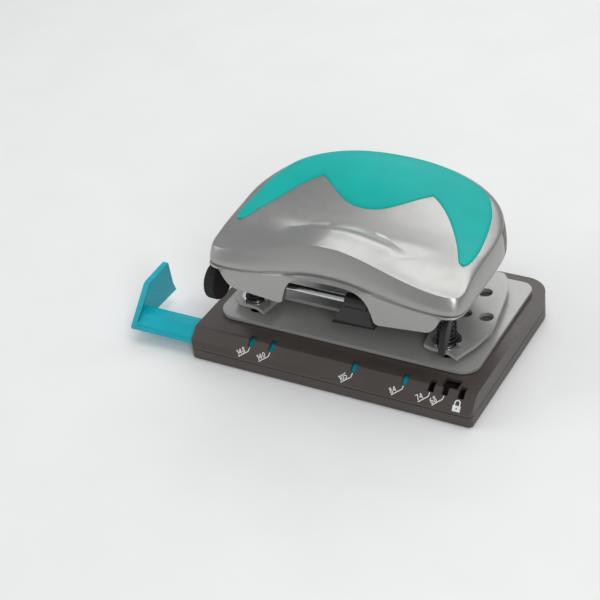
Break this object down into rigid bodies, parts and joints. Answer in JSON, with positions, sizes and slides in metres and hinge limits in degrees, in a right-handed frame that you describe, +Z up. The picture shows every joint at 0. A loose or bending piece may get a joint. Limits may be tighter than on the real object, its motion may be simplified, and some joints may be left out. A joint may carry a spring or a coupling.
{
  "type": "hole punch",
  "caption": "Desktop paper punch with a wide curved palm handle, a raised punching deck, a sliding paper guide and a lift-up base over a chip tray.",
  "frame": {"origin": "middle of the base's length and depth, on the underside of the non-slip mat that the punch stands on", "axes": "+Z up; +X along the base, away from the paper guide's stop; +Y from the front edge, where the paper goes in, towards the handle's pivot"},
  "size_m": [0.1455, 0.0839, 0.063],
  "materials": {
    "charcoal_plastic": "fine-grained dark brown-grey moulded plastic",
    "silver_paint": "satin metallic silver paint",
    "teal_soft_plastic": "soft-touch teal plastic",
    "teal_plastic": "moulded teal plastic, light gloss",
    "black_rubber": "matt black rubber",
    "black_plastic": "black moulded plastic",
    "dark_spring_steel": "oiled dark spring wire",
    "bright_steel": "bright zinc-plated or ground steel"
  },
  "bodies": {
    "tray": {"chip_tray": "charcoal_plastic", "non_slip_mat": "black_rubber", "tray_hinge_pin_left": "bright_steel", "tray_hinge_pin_right": "bright_steel"},
    "base": {"base_housing": "charcoal_plastic", "bed_plate": "silver_paint", "throat_spacer": "bright_steel", "punch_deck": "silver_paint", "deck_rivet_1": "bright_steel", "deck_rivet_2": "bright_steel", "deck_rivet_3": "bright_steel", "deck_rivet_4": "bright_steel", "cheek_left": "bright_steel", "cheek_right": "bright_steel", "pivot_axle": "bright_steel", "axle_clip_left": "dark_spring_steel", "axle_clip_right": "dark_spring_steel", "spring_seat_left": "bright_steel", "spring_seat_right": "bright_steel", "return_spring_left": "dark_spring_steel", "return_spring_right": "dark_spring_steel"},
    "handle": {"handle_shell": "silver_paint", "handle_back": "charcoal_plastic", "handle_inlay": "teal_soft_plastic", "handle_carrier": "black_plastic", "lever_arm_left": "bright_steel", "lever_arm_right": "bright_steel", "drive_bar": "bright_steel", "carrier_screw_1": "bright_steel", "carrier_screw_2": "bright_steel", "carrier_screw_3": "bright_steel", "carrier_screw_4": "bright_steel", "cross_rod": "bright_steel", "rod_hanger_left": "black_plastic", "rod_hanger_right": "black_plastic", "centre_bumper": "black_plastic", "lock_hook": "black_plastic", "end_buffer": "black_rubber"},
    "punch_left": {"punch_pin_left": "bright_steel"},
    "punch_right": {"punch_pin_right": "bright_steel"},
    "guide": {"paper_guide": "teal_plastic"}
  },
  "joints": [
    {"name": "base_lift", "type": "hinge", "parent": "tray", "child": "base", "pos_m": [0, 0.042, 0.00465], "axis": [-1, 0, 0], "range_deg": [0, 55]},
    {"name": "handle_press", "type": "hinge", "parent": "base", "child": "handle", "pos_m": [0, 0.022, 0.034], "axis": [1, 0, 0], "range_deg": [0, 10.8], "stiffness_Nm_per_rad": 2, "springref_deg": -8.59},
    {"name": "punch_left_slide", "type": "slide", "parent": "base", "child": "punch_left", "axis": [0, 0, -1], "range_m": [0, 0.0075], "deforming": ["return_spring_left"]},
    {"name": "punch_right_slide", "type": "slide", "parent": "base", "child": "punch_right", "axis": [0, 0, -1], "range_m": [0, 0.0075], "deforming": ["return_spring_right"]},
    {"name": "guide_slide", "type": "slide", "parent": "base", "child": "guide", "axis": [1, 0, 0], "range_m": [-0.0641, 0.0221]}
  ],
  "couplings": [
    {"joint": "punch_left_slide", "follows": "handle_press", "m_per_rad": 0.0396},
    {"joint": "punch_right_slide", "follows": "handle_press", "m_per_rad": 0.0396}
  ]
}
